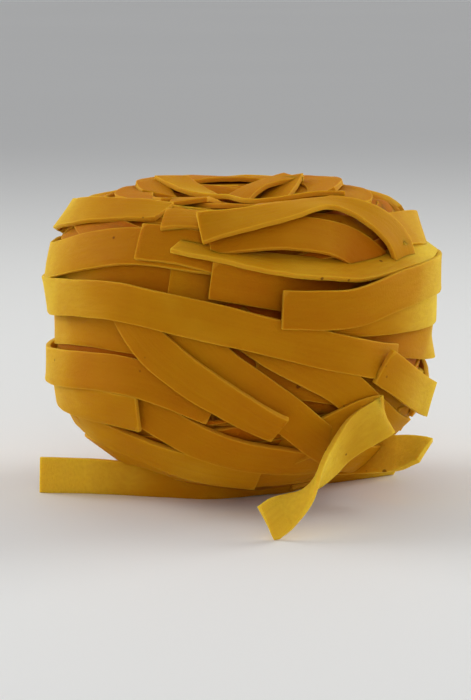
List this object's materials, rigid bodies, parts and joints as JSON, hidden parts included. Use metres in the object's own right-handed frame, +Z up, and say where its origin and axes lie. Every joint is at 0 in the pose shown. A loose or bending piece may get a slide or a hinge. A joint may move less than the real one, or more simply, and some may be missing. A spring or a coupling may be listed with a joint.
{
  "type": "dry pasta nest",
  "caption": "Nest of dried flat egg pasta ribbons, hand wound into a squat ball with loose ends trailing from its foot.",
  "frame": {"origin": "middle of the flat spot that the nest stands on", "axes": "+Z up, -Y towards the loose ends at the front, +X to the right as seen from the front"},
  "size_m": [0.0738, 0.0853, 0.0565],
  "materials": {
    "pasta": "dry, faintly rough egg pasta"
  },
  "bodies": {
    "root": {"tagliatelle_nest": "pasta"}
  },
  "joints": []
}
